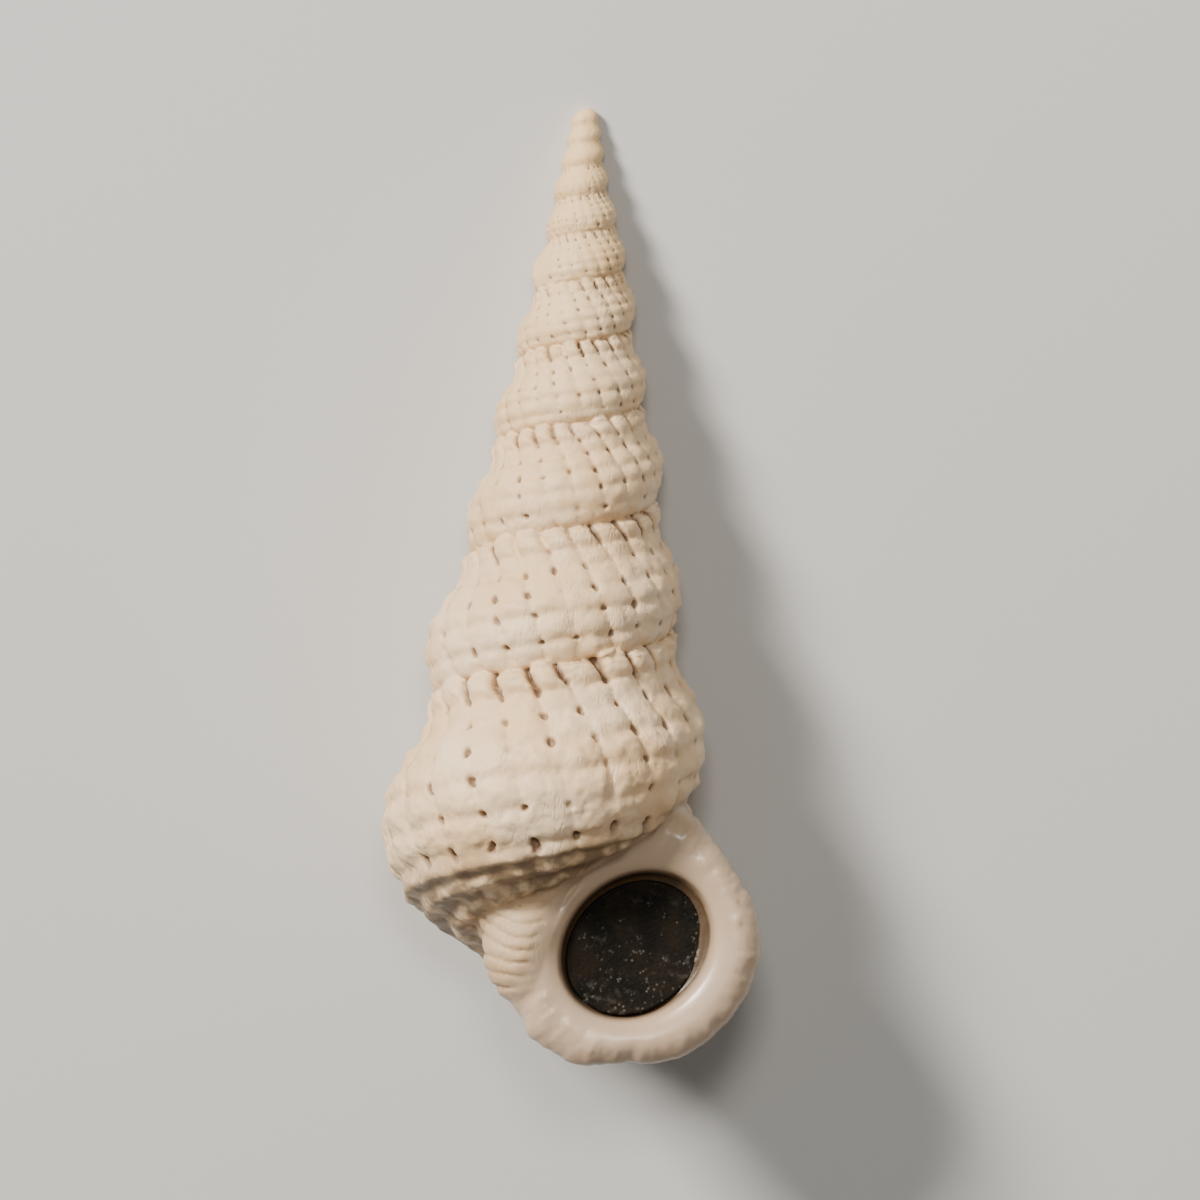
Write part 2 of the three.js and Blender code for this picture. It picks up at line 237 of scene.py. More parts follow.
def coilTree(material):
    inputs = {name: value for name, value in coil.items() if isinstance(value, float)}
    inputs["columns"] = round(coil["columnsPerTurn"] * coil["turns"])
    inputs["rows"] = coil["rowsAcross"]
    tree, entry = newGeometryTree("coil", inputs)
    grid = tree.make("GeometryNodeMeshGrid", {}, {
        "Size X": 1.0, "Size Y": 1.0, "Vertices X": entry["columns"], "Vertices Y": entry["rows"]})
    along, across, _ = tree.parts(grid["UV Map"])
    turn = entry["lastTurn"] - entry["turns"] * (1.0 - along)

    section = np.array(whorlSection)
    steps = np.r_[0, np.cumsum(np.hypot(*np.diff(section, axis=0).T))]
    steps /= steps[-1]
    last = len(section) - 1
    sharp = {0, 1, last - 2, last - 1, last}

    def sectionCurve(column, low, span):
        points = [(float(s), float((v - low) / span)) for s, v in zip(steps, section[:, column])]
        curve = tree.make("ShaderNodeFloatCurve", {"curve": (points, sharp)}, {"Value": across})
        return low + span * curve[0]

    down = sectionCurve(0, 1.0, 0.4)
    out = sectionCurve(1, -0.03, 0.33)

    # both ends close on the middle of their section
    nearEnd = 0.0001
    ends = (along < nearEnd) + (along > 1.0 - nearEnd)
    middleDown, middleOut = sectionMiddle
    down = down + (middleDown - down) * ends
    out = out + (middleOut - out) * ends

    suture = entry["sutureAtFront"] * entry["growth"] ** turn
    drawnIn = entry["baseDrawIn"] * tree.sum("MAXIMUM", turn - entry["baseDrawInFrom"], 0.0)
    below = tree.sum("MAXIMUM", down - middleDown, 0.0)
    down = suture * (down - below * drawnIn)
    radius = suture * out
    down = tree.sum("MINIMUM", down, entry["baseEnd"] + entry["baseSlope"] * radius)
    bend = entry["apexBend"] * (1.0 - tree.smooth(down, *coil["apexBendSpan"]))
    widening = math.e ** ((entry["apexHeight"] - down) / entry["apexWideningReach"])
    radius = radius * (1.0 + entry["apexWidening"] * widening)
    angle = turn * fullTurn
    place = tree.vector(bend - radius * tree.sum("SINE", angle), -down, radius * tree.sum("COSINE", angle))
    moved = tree.make("GeometryNodeSetPosition", {}, {"Geometry": grid["Mesh"], "Position": place})
    merged = tree.make("GeometryNodeMergeByDistance", {}, {
        "Geometry": moved, "Distance": entry["mergeDistance"]})
    closeGeometryTree(tree, merged, material)
    return tree, inputs


apexBall = {"centre": (-0.14, -2.66, 0.1), "radius": 0.5}


def makeTip():  # a small ball rounds off the apex
    ball = bmesh.new()
    centre = Matrix.Translation(apexBall["centre"])
    bmesh.ops.create_icosphere(ball, subdivisions=3, radius=apexBall["radius"], matrix=centre)
    item = newItem("tip", [], [])
    ball.to_mesh(item.data)
    ball.free()
    return item


# The mouth's pieces, as closed skins over rings of points

mouth = {
    "centre": (4.3, -41.3),
    "lipPlane": 2.4,
    "rimLong": 3.72,
    "rimShort": 3.11,
    "rimAngle": 45,
    "seatDepth": 1.2,
    "seatLedge": 0.45,
    "lipColumns": 180,
    "lipFoot": -3.4,  # how deep the lip's skin goes
    "crestShare": 0.55,  # of the way from the rim to the edge
    "tube": (0.74, 0.24),  # turns, where the throat and the hollow begin and end
    "throatColumns": 72,
    "throatRings": 24,
    "throatTop": (0.7, -1.4),  # in from the lip's edge, and under the lip's plane
    "throatInset": 0.85,  # in from the lip's edge
    "throatTaper": 2.2,  # and more of it per turn
    "hollowColumns": 64,
    "hollowRings": 14,
    "hollowShare": 0.96,  # of the opening inside the seat
    "hollowTop": 3,
    "cordRings": 40,
    "cordColumns": 36,
}
# the lip's outer edge: degrees up from the x axis, distance from the mouth's centre
lipEdge = [
    (0, 5.82), (17, 5.87), (29, 5.86), (42, 5.9), (55, 6.12), (72, 6.75), (92, 5.6), (115, 4.7), (145, 4.35),
    (180, 4.55), (205, 5.7), (215, 6.25), (222, 6.6), (227, 6.57), (233, 6.38), (239, 6.31), (246, 6.28),
    (252, 6.02), (259, 5.75), (271, 5.48), (280, 5.6), (305, 5.6), (335, 5.62),
]
# the twisted cord beside the mouth: x, y, z, radius
cordRoute = [
    (0.3, -37.6, 0.9, 1.6), (-0.75, -40.3, 1.35, 1.78), (-1.05, -42.2, 1.45, 1.7), (-0.25, -43.9, 1.3, 1.2),
    (0.7, -45.1, 1.35, 0.95), (1.9, -45.7, 1.6, 0.6),
]


def through(pairs, x):  # a smooth line through pairs
    at, value = np.array(pairs, float).T
    k = np.clip(np.searchsorted(at, x, side="right"), 1, len(at) - 1)
    before, after = np.maximum(k - 2, 0), np.minimum(k + 1, len(at) - 1)
    step = at[k] - at[k - 1]
    share = (x - at[k - 1]) / step
    rise1 = (value[k] - value[before]) / (at[k] - at[before]) * step
    rise2 = (value[after] - value[k - 1]) / (at[after] - at[k - 1]) * step
    s2, s3 = share ** 2, share ** 3
    ends = value[k - 1] * (2 * s3 - 3 * s2 + 1) + value[k] * (3 * s2 - 2 * s3)
    return ends + rise1 * (s3 - 2 * s2 + share) + rise2 * (s3 - s2)


def smoothLoop(points, times):  # a closed line of points, rounded
    points = np.array(points, float)
    count = len(points)
    rounded = []
    for k in range(count):
        p0, p1, p2, p3 = (points[(k + j) % count] for j in (-1, 0, 1, 2))
        for share in np.arange(times) / times:
            a = 2 * p1 + (p2 - p0) * share + (2 * p0 - 5 * p1 + 4 * p2 - p3) * share ** 2
            rounded.append(0.5 * (a + (3 * p1 - p0 - 3 * p2 + p3) * share ** 3))
    return np.array(rounded)


def faceOutward(mesh):
    shape = bmesh.new()
    shape.from_mesh(mesh)
    if shape.calc_volume(signed=True) < 0:
        bmesh.ops.reverse_faces(shape, faces=shape.faces)
        shape.to_mesh(mesh)
    shape.free()


def skin(name, rings, closed):
    size, count = len(rings[0]), len(rings)
    points = [p for ring in rings for p in ring]
    faces = []
    for k in range(count if closed else count - 1):
        here, ahead = k * size, (k + 1) % count * size
        for j in range(size):
            beside = (j + 1) % size
            faces.append((here + j, here + beside, ahead + beside, ahead + j))
    if not closed:
        faces.append(tuple(range(size))[::-1])
        faces.append(tuple((count - 1) * size + j for j in range(size)))
    item = newItem(name, points, faces)
    faceOutward(item.data)
    return item


def angles(count):
    return np.arange(count) / count * fullTurn


def rimRadius(angle):
    turned = angle - math.radians(mouth["rimAngle"])
    return 1 / np.hypot(np.cos(turned) / mouth["rimLong"], np.sin(turned) / mouth["rimShort"])


def lipRadius(angle):
    around = [(a - 360, r) for a, r in lipEdge[-3:]] + lipEdge + [(a + 360, r) for a, r in lipEdge[:3]]
    return through(around, np.degrees(angle) % 360)


def mouthPoint(angle, radius, height):
    x, y = mouth["centre"]
    return (x + radius * math.cos(angle), y + radius * math.sin(angle), mouth["lipPlane"] + height)


def makeLip():
    rings = []
    ledge, seat, foot = mouth["seatLedge"], -mouth["seatDepth"], mouth["lipFoot"]
    roundFrom, roundTo, steps = 4, 11, 4  # the points that are rounded, and the steps between two of them
    for angle in angles(mouth["lipColumns"]):
        rim, edge = float(rimRadius(angle)), float(lipRadius(angle))
        crest = rim + mouth["crestShare"] * (edge - rim)
        section = [  # radius and height, from the ledge over the crest and down the outside
            (rim - ledge, foot), (rim - ledge, seat), (rim, seat), (rim + 0.02, -0.7), (rim + 0.16, -0.12),
            (rim + 0.5, 0.16), (crest, 0.34), (edge - 0.45, 0.08), (edge, -0.5), (edge - 0.12, -1.2),
            (edge - 0.75, -2.0), (crest - 0.2, foot),
        ]
        rounded = smoothLoop(section, steps)[roundFrom * steps:roundTo * steps]
        fine = np.vstack([section[:roundFrom], rounded, section[roundTo:]])
        rings.append([mouthPoint(angle, radius, height) for radius, height in fine])
    return skin("lip", rings, True)


def carriedBack(turn, radiusAt, count):  # an oval about the mouth's centre, taken back along the coil
    scale = coil["growth"] ** (turn - coil["lastTurn"])
    x, y = mouth["centre"]
    ring = []
    for angle in angles(count):
        radius = scale * float(radiusAt(angle))
        out, turned = x * scale + radius * math.cos(angle), turn * fullTurn
        ring.append((-out * math.sin(turned), y * scale + radius * math.sin(angle), out * math.cos(turned)))
    return ring


def makeThroat():
    count = mouth["throatColumns"]
    start, end = mouth["tube"]
    inset, height = mouth["throatTop"]
    rings = [[mouthPoint(a, float(lipRadius(a)) - inset, height) for a in angles(count)]]
    for turn in np.linspace(start, end, mouth["throatRings"]):
        inset = mouth["throatInset"] + mouth["throatTaper"] * (start - turn)
        rings.append(carriedBack(turn, lambda a: lipRadius(a) - inset, count))
    return skin("throat", rings, False)


def makeHollow():
    count = mouth["hollowColumns"]

    def radiusAt(angle):
        return mouth["hollowShare"] * (rimRadius(angle) - mouth["seatLedge"])

    rings = []
    for height in (mouth["hollowTop"], -mouth["seatDepth"]):
        rings.append([mouthPoint(a, float(radiusAt(a)), height) for a in angles(count)])
    for turn in np.linspace(*mouth["tube"], mouth["hollowRings"]):
        rings.append(carriedBack(turn, radiusAt, count))
    return skin("hollow", rings, False)


def makeCord():
    route = np.array(cordRoute)
    last = mouth["cordRings"] - 1
    places = np.linspace(0, 1, len(route))
    fine = np.linspace(0, 1, mouth["cordRings"])
    middle = np.stack([through(list(zip(places, route[:, k])), fine) for k in range(4)], 1)
    rings = []
    for k, (x, y, z, radius) in enumerate(middle):
        ahead = Vector(middle[min(k + 1, last), :3] - middle[max(k - 1, 0), :3]).normalized()
        side = ahead.cross(Vector((0, 0, 1))).normalized()
        up = side.cross(ahead)
        centre = Vector((x, y, z))
        ring = []
        for angle in angles(mouth["cordColumns"]):
            ring.append(centre + side * radius * math.cos(angle) + up * radius * math.sin(angle))
        rings.append(ring)
    return skin("cord", rings, False)


# The sculpture. Heights and depths are over the distance from the cone's tip, and places across a
# whorl over its height. A pair is the stretch over which something comes in or fades out, or, where
# its note says so, the least and what the biggest have more.

sculpture = {
    "noiseScales": (0.5, 1.15, 2.8),  # broad, middling and fine
    "seed": 7,
    "reliefFrom": (2.4, 6.0),  # from the cone's tip
    "lastStretch": (0.5, 0.72),  # turns, where the relief gets lower towards the lip
    "lastLowering": 0.75,
    "lumpHeight": 0.0115,
    "lumpsOffBase": 0.7,  # the share of them that the base hasn't
    "fineHeight": 0.0028,
    "fineOffBase": 0.6,

    "ribs": 21.0,  # per turn
    "ribLean": 0.079,  # turns, from one suture to the next
    "earlyLean": 0.25,  # the share of it that comes fast below the upper suture
    "earlyRate": 4.5,
    "ribWander": 0.3,
    "pillowHeight": 0.0062,
    "pillowRoundness": 2.2,
    "pillowLevel": 0.6,  # the part of a pillow that lies under the plain surface
    "pillowsOffBase": 0.65,
    "pillowUnevenness": (0.35, 1.3),  # the least, and what the biggest have more
    "unevenPatches": (-0.15, 0.15),

    "varixWidth": 0.62,  # over its half width, the spread of its hump
    "varixMiddle": 0.55,
    "varixSpread": 0.62,
    "fullVarix": 0.012,  # a swelling this high covers ribs and pits
    "varixOnPits": 0.75,  # the share of them that it covers
    "varixOnPillows": 0.45,

    "fingerOut": 0.1965,  # distance from the axis
    "fingerMore": 0.0075,  # what the biggest have more
    "fingerRoughness": 0.006,
    "fingerLean": 0.09,
    "fingerWander": 0.7,
    "fingerReach": 0.06,  # up over the suture
    "fingerSizes": (0.25, 1.15),  # the least, and what the biggest have more
    "fingerRaggedness": 0.03,
    "fingerTip": (-0.008, 0.022),
    "fingerRoot": (0.06, 0.24),
    "fingersFrom": (7.0, 12.0),  # from the cone's tip
    "fingersEnd": (0.6, 0.68),  # turns, before the lip

    "slotDepth": 0.014,
    "slotWidth": 0.3,  # over the fingers' spacing
    "slotLength": (0.055, 0.1),  # the least, and what the biggest have more
    "slotTop": (-0.035, 0.015),
    "slotFoot": (-0.03, 0.02),
    "slotChance": (0.1, 0.55),
    "sutureDepth": 0.012,
    "sutureWidth": 0.06,
    "sutureMiddle": -0.02,
    "sutureUnderFingers": 0.8,  # the share of it that they cover
    "deepSutures": (26.0, 10.0),  # from the cone's tip, deeper towards the apex

    "pitDepth": 0.011,
    "pitWidth": 0.1,  # over the ribs' spacing
    "pitHeight": 0.034,
    "pitSizes": (0.55, 0.8),  # the least, and what the biggest have more
    "pitStray": 0.14,
    "pitWobble": (0.018, 0.01, 0.03),  # by fine noise, by middling noise and for each cell
    "pitChance": (-0.05, 0.6),
    "pitEdge": (0.25, 0.8),
    "pitsFrom": (4.0, 8.0),  # from the cone's tip
    "pitCells": 5.6,  # across a whorl
    "grooveDepth": 0.0014,  # between the spiral cords
    "grooveWidth": 0.042,
    "grooveWobble": 0.6,
    "grooveOnPillows": 0.7,

    "baseFrom": (0.97, 1.08),
    "baseTo": (1.3, 1.38),
    "ridgeHeight": 0.0065,
    "ridges": 11.5,  # over a whorl's height
    "ridgeWander": 0.012,
    "baseHollow": 0.006,
    "baseHollowFrom": (1.05, 1.3),

    "evenings": 5,
    "eveningLeast": 0.06,
    "eveningFrom": (5.0, 24.0),  # from the cone's tip
    "jointEvenings": 40,
    "jointFrom": (4.0, 4.8),  # from the mouth's centre
    "jointEnd": (38.8, 40.5),  # from the cone's tip

    "lipMargin": (0.15, 1.5),
    "cordMargin": (0.1, 0.7),
    "knobHeight": 0.24,
    "knobsFrom": (4.2, 5.4),  # from the mouth's centre
    "knobStretch": (5.0, 0.5),  # around the lip and outward
    "knobScale": 1.6,
    "rimEdge": (0.985, 1.045),
    "mouthTop": 36.0,
    "seatTop": (0.1, -0.35),  # from the lip's plane

    "layersOffLip": (0.15, 0.8),
    "layerHeight": 0.15,
    "layerUnevenness": (0.5, -0.2, 0.2),  # the least, and the broad noise that gives the rest
    "layerLevel": 0.05,
    "layersPerMm": 1.65,
    "layerWander": (0.25, 0.12),  # by middling and by fine noise
    "layerSag": (0.26, 0.2),  # at the cord's top, and what it loses
    "layerFlat": (40.2, 43.4),
    "layerMiddle": -1.1,
}
# how dark the painted shade in each kind of low place is
shade = {
    "valleys": 0.1,
    "grooves": 0.12,
    "ridgeGaps": 0.35,
    "suture": 0.25,
    "sutureWidth": 0.04,
    "slots": (1.3, 0.5),  # near the apex, and what they lose
    "slotsPaler": (20.0, 30.0),
    "pits": 0.85,
    "layers": 0.2,
    "layerSharpness": 8.0,
}
pitRows = [0.13, 0.28, 0.45, 0.63, 0.82, 1.0]
# swollen ribs: place in turns, half width in turns, height
varices = [
    (0.5, 0.07, 0.012), (-0.73, 0.1, 0.009), (-1.3, 0.05, 0.009), (-2.24, 0.06, 0.014),
    (-3.5, 0.08, 0.015), (-4.25, 0.06, 0.018), (-4.74, 0.06, 0.023), (-6.4, 0.07, 0.012),
]


def findPlace(tree, entry):  # which whorl, how far round it and how far across it
    at = SimpleNamespace(position=tree.make("GeometryNodeInputPosition")[0])
    at.x, at.y, at.z = tree.parts(at.position)
    at.down = tree.sum("MAXIMUM", -at.y, 0.5)
    aroundTurn = tree.sum("ARCTAN2", -at.x, at.z) / fullTurn
    log = tree.sum("LOGARITHM", at.down / entry["sutureAtFront"], entry["growth"]) - aroundTurn
    whorl = tree.sum("FLOOR", log)
    across = log - whorl
    turn = aroundTurn + whorl
    onBase = turn > coil["lastTurn"]
    at.turn = turn - onBase
    at.across = across + onBase
    at.broad, at.middling, at.fine = (
        tree.noise(at.position, scale) - 0.5 for scale in sculpture["noiseScales"])
    return at


def leanAt(tree, entry, place):  # a rib falls back fast below the upper suture, then evenly
    share = tree.clamp(place)
    early = (1.0 - math.e ** (-entry["earlyRate"] * share)) / (1.0 - math.exp(-sculpture["earlyRate"]))
    return entry["ribLean"] * (entry["earlyLean"] * early + (1.0 - entry["earlyLean"]) * share)


def addRibs(tree, entry, at):
    at.leaned = at.turn + leanAt(tree, entry, at.across)
    at.rib = entry["ribs"] * at.leaned + entry["ribWander"] * at.broad
    at.fromValley = 0.5 - tree.fromMiddle(at.rib)  # 0 in the valley, 0.5 on the rib
    at.pillow = 1.0 - tree.clamp(1.0 - at.fromValley * 2.0) ** entry["pillowRoundness"]


def addVarices(tree, entry, at):
    swelling = 0.0
    for place, halfWidth, height in varices:
        swelling = height * tree.hump((at.leaned - place) / (entry["varixWidth"] * halfWidth)) + swelling
    at.swollen = tree.clamp(swelling / entry["fullVarix"])
    at.swelling = swelling * tree.hump((at.across - entry["varixMiddle"]) / entry["varixSpread"])


def addFingers(tree, entry, at):  # the ribs' tops reach over the suture, with slots between them
    nearest = tree.sum("FLOOR", at.across + 0.5)
    fromSuture = at.across - nearest
    lean = leanAt(tree, entry, fromSuture) - entry["fingerLean"] * tree.clamp(-fromSuture)
    finger = entry["ribs"] * (at.turn + nearest + lean) + entry["fingerWander"] * at.broad
    size, _, _ = tree.random(tree.vector(tree.sum("FLOOR", finger), entry["seed"], 0.0), "2D")
    _, slotSize, _ = tree.random(tree.vector(tree.sum("FLOOR", finger + 0.5), entry["seed"], 0.0), "2D")
    inFinger = tree.fromMiddle(finger) * 2.0  # 0 on the finger, 1 in the slot
    hasSuture = 1.0 - tree.smooth(at.turn + nearest, *sculpture["fingersEnd"])

    least, more = sculpture["fingerSizes"]
    reach = entry["fingerReach"] * (least + more * size) * (1.0 - inFinger ** 3.0)
    reach = reach + entry["fingerRaggedness"] * at.fine
    dome = tree.clamp(1.0 - inFinger ** 4.0) ** 0.5
    fingers = tree.smooth(fromSuture + reach, *sculpture["fingerTip"])
    at.fingers = fingers * (1.0 - tree.smooth(fromSuture, *sculpture["fingerRoot"])) * dome * hasSuture
    at.fingerOut = entry["fingerOut"] + entry["fingerMore"] * size * dome + entry["fingerRoughness"] * at.fine

    least, more = sculpture["slotLength"]
    foot = least + more * slotSize
    footFrom, footTo = sculpture["slotFoot"]
    slots = tree.smooth(inFinger, 1.0 - entry["slotWidth"], 1.0)
    slots = slots * tree.smooth(fromSuture, *sculpture["slotTop"])
    slots = slots * (1.0 - tree.smooth(fromSuture, foot + footFrom, foot + footTo)) * hasSuture
    at.slots = slots * tree.smooth(slotSize, *sculpture["slotChance"])
    at.fromSuture, at.hasSuture = fromSuture, hasSuture


def addPits(tree, entry, at):  # where the valleys cross the grooves between the spiral cords
    cellRow = tree.sum("FLOOR", at.across * entry["pitCells"])
    cell = tree.vector(tree.sum("FLOOR", at.rib + 0.5), cellRow, entry["seed"])
    chance, drift, length = tree.random(cell)
    byFine, byMiddling, byCell = sculpture["pitWobble"]
    wobble = byFine * at.fine + byMiddling * at.middling + byCell * (drift - 0.5)
    least, more = sculpture["pitSizes"]
    pitHeight = entry["pitHeight"] * (least + more * length)
    pits, grooves = 0.0, 0.0
    for row in pitRows:
        pits = tree.hump((at.across + wobble - row) / pitHeight) + pits
        place = at.across + entry["grooveWobble"] * wobble - row
        grooves = tree.hump(place / entry["grooveWidth"]) + grooves
    pits = pits * tree.hump((at.fromValley + entry["pitStray"] * at.fine) / entry["pitWidth"])
    pits = tree.smooth(pits, *sculpture["pitEdge"]) * tree.smooth(chance, *sculpture["pitChance"])
    at.pits = pits * (1.0 - at.fingers)
    at.grooves = grooves


def addBase(tree, entry, at):  # spiral ridges round the base
    at.base = tree.smooth(at.across, *sculpture["baseFrom"])
    at.ridged = at.base * (1.0 - tree.smooth(at.across, *sculpture["baseTo"]))
    wave = (at.across + entry["ridgeWander"] * at.middling) * entry["ridges"] * fullTurn
    at.ridges = at.ridged * (tree.sum("COSINE", wave) * 0.5 + 0.5)
    at.baseHollow = entry["baseHollow"] * tree.smooth(at.across, *sculpture["baseHollowFrom"])


def awayFrom(tree, item, near, far):
    shape = tree.make("GeometryNodeObjectInfo", {}, {"Object": item})
    distance = tree.make("GeometryNodeProximity", {"target_element": "FACES"}, {0: shape["Geometry"]})
    return tree.smooth(distance["Distance"], near, far)


def addLip(tree, entry, at, lip):  # low knobs round its outer edge, and the seat's wall and ledge inside
    at.offLip = awayFrom(tree, lip, *sculpture["lipMargin"])
    at.onLip = 1.0 - at.offLip
    dx, dy = at.x - mouth["centre"][0], at.y - mouth["centre"][1]
    at.fromMouth = (dx * dx + dy * dy) ** 0.5
    bearing = tree.sum("ARCTAN2", dy, dx)
    aroundBy, outBy = sculpture["knobStretch"]
    where = tree.vector(bearing * aroundBy, at.fromMouth * outBy, 0.0)
    knobs = tree.noise(where, entry["knobScale"], 2.0, dimensions="2D") - 0.5
    at.knobs = at.onLip * tree.smooth(at.fromMouth, *sculpture["knobsFrom"]) * knobs * entry["knobHeight"]

    turned = bearing - math.radians(mouth["rimAngle"])
    longPart = at.fromMouth * tree.sum("COSINE", turned) / mouth["rimLong"]
    shortPart = at.fromMouth * tree.sum("SINE", turned) / mouth["rimShort"]
    inRim = 1.0 - tree.smooth((longPart * longPart + shortPart * shortPart) ** 0.5, *sculpture["rimEdge"])
    at.inMouth = inRim * (at.z > 0.0) * (at.down > entry["mouthTop"])
    high, low = (mouth["lipPlane"] + height for height in sculpture["seatTop"])
    at.inSeat = at.inMouth * (1.0 - tree.smooth(at.z, low, high))


def addCord(tree, entry, at, cord):  # growth layers, sagging arcs that flatten towards its lower end
    at.offCord = awayFrom(tree, cord, *sculpture["cordMargin"])
    most, lost = sculpture["layerSag"]
    sag = most - lost * tree.smooth(at.down, *sculpture["layerFlat"])
    toSide = at.x - entry["layerMiddle"]
    byMiddling, byFine = sculpture["layerWander"]
    layer = at.y - sag * toSide * toSide + byMiddling * at.middling + byFine * at.fine
    layer = layer * entry["layersPerMm"]
    at.layerStep = tree.fromMiddle(layer) * 2.0  # 1 in the crease between two layers
    at.cordBand = (1.0 - at.offCord) * tree.smooth(at.offLip, *sculpture["layersOffLip"])
    layers = entry["layerHeight"] * (1.0 - at.layerStep ** 3.0) - entry["layerLevel"]
    least, low, high = sculpture["layerUnevenness"]
    at.layers = at.cordBand * layers * (least + tree.smooth(at.broad, low, high))


def evened(tree, entry, at):  # where the voxels would show, and where the last whorl runs into the lip
    def blurred(value, times, weight):
        return tree.make("GeometryNodeBlurAttribute", {"data_type": "FLOAT_VECTOR"}, {
            "Value": value, "Iterations": times, "Weight": weight})[0]

    least = entry["eveningLeast"]
    firm = least + (1.0 - least) * tree.smooth(at.down, *sculpture["eveningFrom"])
    joint = at.onLip * tree.smooth(at.fromMouth, *sculpture["jointFrom"])
    joint = joint * (1.0 - tree.smooth(at.down, *sculpture["jointEnd"])) * (at.z > 0.0)
    return blurred(blurred(at.position, entry["evenings"], firm), entry["jointEvenings"], joint)


def reliefTree(material, lip, cord):
    inputs = {name: value for name, value in sculpture.items() if isinstance(value, (int, float))}
    inputs.update({name: coil[name] for name in ("growth", "sutureAtFront")})
    tree, entry = newGeometryTree("sculpture", inputs)
    at = findPlace(tree, entry)
    for add in (addRibs, addVarices, addFingers, addPits, addBase):
        add(tree, entry, at)
    addLip(tree, entry, at, lip)
    addCord(tree, entry, at, cord)

    # the lip and the cord beside it stay smooth
    plain = at.offLip * at.offCord
    fade = plain * (1.0 - entry["lastLowering"] * tree.smooth(at.turn, *sculpture["lastStretch"]))
    onSpire = tree.smooth(at.down, *sculpture["reliefFrom"])
    pitted = fade * tree.smooth(at.down, *sculpture["pitsFrom"]) * (1.0 - entry["varixOnPits"] * at.swollen)

    least, more = sculpture["pillowUnevenness"]
    uneven = least + more * tree.smooth(at.broad, *sculpture["unevenPatches"])
    pillows = at.pillow * (1.0 - entry["grooveOnPillows"] * at.grooves) - entry["pillowLevel"]
    pillows = uneven * entry["pillowHeight"] * pillows * (1.0 - entry["varixOnPillows"] * at.swollen)
    relief = pillows * (1.0 - entry["pillowsOffBase"] * at.base)
    relief = relief + entry["lumpHeight"] * at.middling * (1.0 - entry["lumpsOffBase"] * at.base)
    relief = relief - entry["grooveDepth"] * at.grooves * (1.0 - at.base) - entry["slotDepth"] * at.slots
    relief = relief + entry["ridgeHeight"] * at.ridges - at.baseHollow
    relief = relief + entry["fineHeight"] * at.fine * (1.0 - entry["fineOffBase"] * at.base)
    height = at.swelling + fade * onSpire * relief - entry["pitDepth"] * at.pits * pitted
    shallow, deep = sculpture["deepSutures"]
    early = onSpire * (1.0 - tree.smooth(at.down, deep, shallow))
    crease = tree.hump((at.fromSuture - entry["sutureMiddle"]) / entry["sutureWidth"])
    crease = crease * (1.0 - entry["sutureUnderFingers"] * at.fingers)
    height = height - early * entry["sutureDepth"] * crease
    offset = (height * at.down + at.layers + at.knobs) * (1.0 - at.inMouth)

    # a finger stands out to its own distance from the axis, over the suture's crease
    position = evened(tree, entry, at)
    x, _, z = tree.parts(position)
    fromAxis = (x * x + z * z) ** 0.5
    missing = tree.sum("MAXIMUM", at.fingerOut * at.down - fromAxis, 0.0) * at.fingers
    missing = missing * tree.smooth(at.down, *sculpture["fingersFrom"]) * plain
    outward = tree.vector(x * missing / fromAxis, 0.0, z * missing / fromAxis)
    normal = tree.make("GeometryNodeInputNormal")[0]
    push = tree.make("ShaderNodeVectorMath", {"operation": "SCALE"}, {0: normal, "Scale": offset})[0]
    push = tree.make("ShaderNodeVectorMath", {"operation": "ADD"}, {0: push, 1: outward})[0]

    # what the finish reads: how dark the painted shade in the low places is, and what a point lies on
    creases = shade["valleys"] * (1.0 - at.pillow) + shade["grooves"] * at.grooves
    creases = creases + shade["ridgeGaps"] * at.ridged * (1.0 - at.ridges)
    inSuture = tree.hump(at.fromSuture / shade["sutureWidth"]) * at.hasSuture * (1.0 - at.fingers)
    creases = creases + shade["suture"] * inSuture
    darkest, lost = shade["slots"]
    slots = (darkest - lost * tree.smooth(at.down, *shade["slotsPaler"])) * at.slots
    depth = fade * onSpire * (slots + creases) + shade["pits"] * at.pits * pitted
    depth = tree.clamp(depth + shade["layers"] * at.cordBand * at.layerStep ** shade["layerSharpness"])
    measures = {
        "depth": depth, "onLip": at.onLip, "onCord": at.cordBand, "onBase": at.ridged * plain,
        "inSeat": at.inSeat,
    }
    stored = entry["Geometry"]
    for name, value in measures.items():
        stored = tree.make("GeometryNodeStoreNamedAttribute", {"data_type": "FLOAT", "domain": "POINT"}, {
            "Geometry": stored, "Name": name, "Value": value})["Geometry"]
    moved = tree.make("GeometryNodeSetPosition", {}, {
        "Geometry": stored, "Position": position, "Offset": push})
    closeGeometryTree(tree, moved, material)
    return tree, inputs


# Laid on its back, in metres

rest = {"slope": 0.2295, "wornDepth": 0.3}
tilt = math.atan(rest["slope"])
lidLow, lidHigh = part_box("operculum")
_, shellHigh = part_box("shell")
place = Vector((
    (lidLow.x + lidHigh.x) / 2 - mouth["centre"][0] * mm,
    shellHigh.y + coil["apexHeight"] * math.cos(tilt) * mm,
    -rest["wornDepth"] * mm,
))
layDown = Matrix.Translation(place) @ Matrix.Rotation(-tilt, 4, "X") @ Matrix.Scale(mm, 4)


def finishPiece(item, node):
    item.data.transform(layDown)
    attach(item, "root")
    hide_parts(node)


# Shell finish. Patches are noise: scale, detail, roughness, and where they start and are full.

